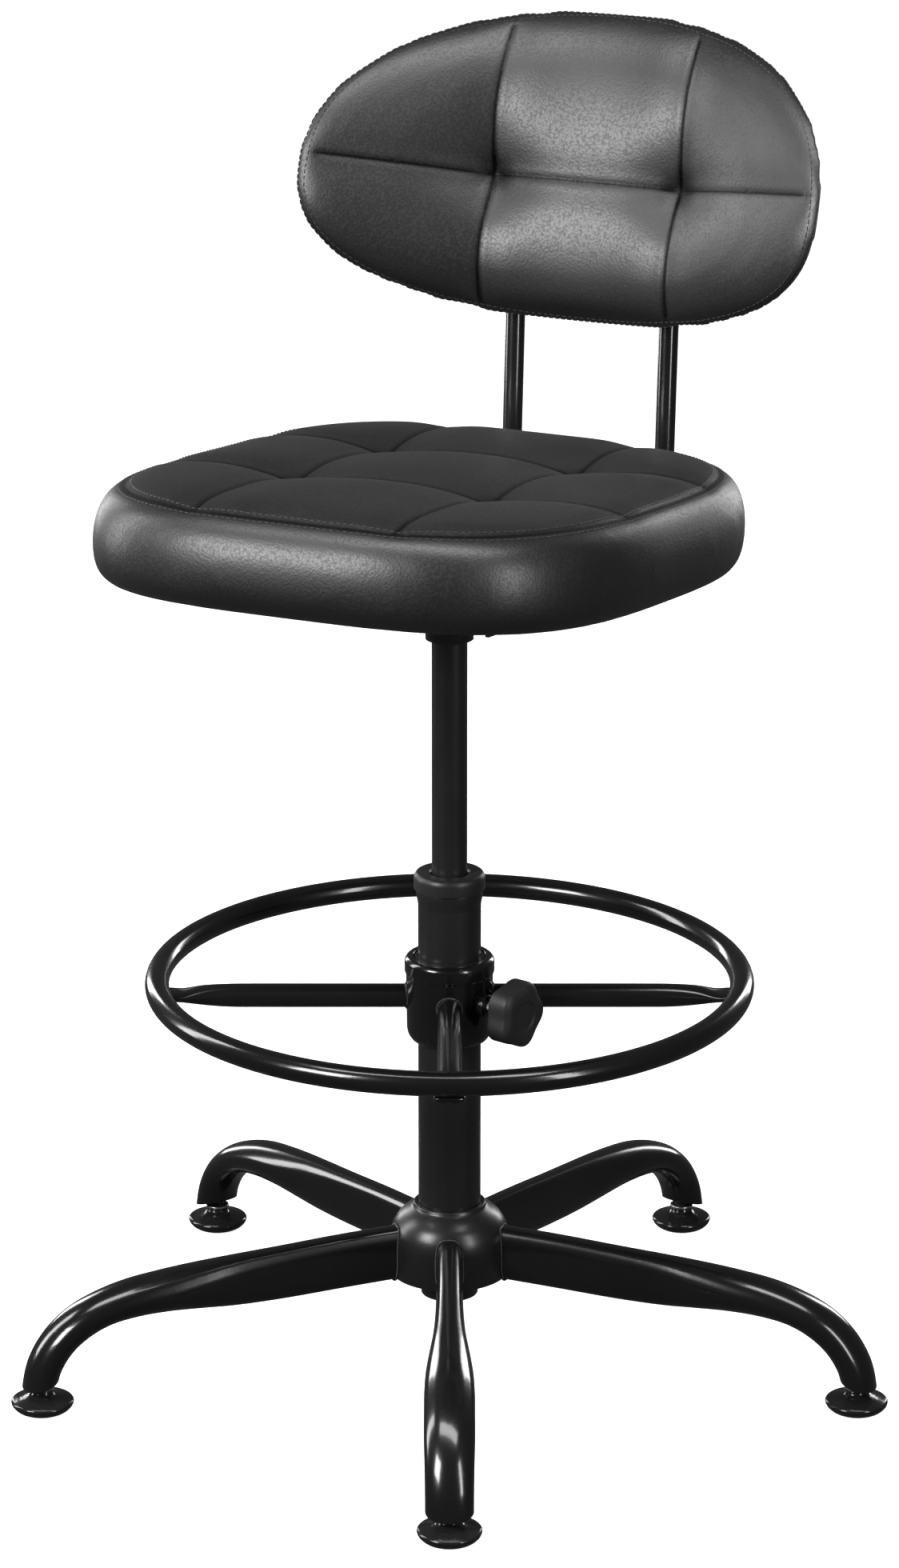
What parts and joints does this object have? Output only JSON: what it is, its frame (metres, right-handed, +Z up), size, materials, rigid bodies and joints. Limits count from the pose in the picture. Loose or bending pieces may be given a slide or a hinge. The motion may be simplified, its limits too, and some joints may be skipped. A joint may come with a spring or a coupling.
{
  "type": "drafting chair",
  "caption": "Tall swivel chair on a splayed tube base with fixed glides, gas lift, clamped foot ring, padded square seat and curved oval backrest.",
  "frame": {"origin": "on the floor, at the middle of the chair's bounding box; the column's axis stands at x -21 mm, y -12 mm", "axes": "+Z up along the column, the seat's front towards -Y, the sitter's left towards +X"},
  "size_m": [0.6814, 0.693, 1.0454],
  "materials": {
    "gloss_black_paint": "gloss black paint on steel tube",
    "frame_paint": "semi-gloss black powder coat",
    "column_paint": "satin black painted steel",
    "glide_plastic": "gloss black moulded plastic",
    "black_plastic": "fine-textured black moulded plastic",
    "knob_plastic": "dark grey textured moulded plastic",
    "cover_plastic": "black moulded underside cover",
    "steel": "zinc-plated steel",
    "rubber": "black rubber",
    "plywood": "raw birch plywood",
    "seat_leatherette": "black leatherette, fine grain, soft sheen",
    "back_leatherette": "black leatherette, fine grain, soft sheen"
  },
  "bodies": {
    "base": {"base_hub": "gloss_black_paint", "leg_1": "gloss_black_paint", "leg_2": "gloss_black_paint", "leg_3": "gloss_black_paint", "leg_4": "gloss_black_paint", "leg_5": "gloss_black_paint", "leg_socket_1": "black_plastic", "leg_socket_2": "black_plastic", "leg_socket_3": "black_plastic", "leg_socket_4": "black_plastic", "leg_socket_5": "black_plastic", "glide_1": "glide_plastic", "glide_2": "glide_plastic", "glide_3": "glide_plastic", "glide_4": "glide_plastic", "glide_5": "glide_plastic", "outer_tube": "column_paint", "guide_bush": "black_plastic", "thrust_bearing": "steel"},
    "lift_rod": {"piston_rod": "steel", "rod_washer": "steel", "retaining_clip": "steel", "bump_stop": "rubber", "piston": "black_plastic"},
    "seat": {"pressure_cylinder": "column_paint", "seat_plate": "frame_paint", "lever_pivot": "steel", "seat_bolt_1": "steel", "seat_bolt_2": "steel", "seat_bolt_3": "steel", "seat_bolt_4": "steel", "seat_cover": "cover_plastic", "seat_board": "plywood", "seat_pad": "seat_leatherette", "back_pad": "back_leatherette", "back_board": "plywood", "back_cover": "back_leatherette", "back_bar_right": "frame_paint", "back_bar_left": "frame_paint", "bar_clamp_right": "frame_paint", "bar_clamp_left": "frame_paint", "bar_clamp_screw_right": "steel", "bar_clamp_screw_left": "steel", "back_screw_right_1": "steel", "back_screw_right_2": "steel", "back_screw_left_1": "steel", "back_screw_left_2": "steel"},
    "release_lever": {"lever_rod": "steel", "lever_grip": "knob_plastic"},
    "valve": {"valve_pin": "steel"},
    "ring_sleeve": {"ring_bush": "black_plastic"},
    "foot_ring_frame": {"ring_hub": "gloss_black_paint", "spoke_1": "gloss_black_paint", "spoke_2": "gloss_black_paint", "spoke_3": "gloss_black_paint", "spoke_4": "gloss_black_paint", "foot_ring": "gloss_black_paint"},
    "clamp_pad": {"pressure_pad": "black_plastic"},
    "knob": {"clamp_screw": "steel", "clamp_knob": "knob_plastic"}
  },
  "joints": [
    {"name": "seat_swivel", "type": "hinge", "parent": "base", "child": "lift_rod", "pos_m": [-0.021, -0.012, 0.07], "axis": [0, 0, 1], "continuous": true},
    {"name": "seat_height", "type": "slide", "parent": "lift_rod", "child": "seat", "axis": [0, 0, 1], "range_m": [-0.19, 0]},
    {"name": "lever_lift", "type": "hinge", "parent": "seat", "child": "release_lever", "pos_m": [-0.055, -0.012, 0.6566], "axis": [0, 1, 0], "range_deg": [0, 5], "stiffness_Nm_per_rad": 2, "springref_deg": -6.88},
    {"name": "valve_press", "type": "slide", "parent": "seat", "child": "valve", "axis": [0, 0, -1], "range_m": [0, 0.003]},
    {"name": "ring_height", "type": "slide", "parent": "base", "child": "ring_sleeve", "axis": [0, 0, 1], "range_m": [-0.13, 0.045]},
    {"name": "ring_swivel", "type": "hinge", "parent": "ring_sleeve", "child": "foot_ring_frame", "pos_m": [-0.021, -0.012, 0.31], "axis": [0, 0, 1], "continuous": true},
    {"name": "clamp_travel", "type": "slide", "parent": "foot_ring_frame", "child": "clamp_pad", "axis": [0.9724, -0.2334, 0], "range_m": [0, 0.0026]},
    {"name": "knob_turn", "type": "hinge", "parent": "clamp_pad", "child": "knob", "pos_m": [0.03734, -0.02601, 0.31], "axis": [0.9724, -0.2334, 0], "range_deg": [0, 720]}
  ],
  "couplings": [
    {"joint": "valve_press", "follows": "lever_lift", "m_per_rad": 0.034},
    {"joint": "clamp_travel", "follows": "knob_turn", "m_per_rad": 0.000199}
  ]
}
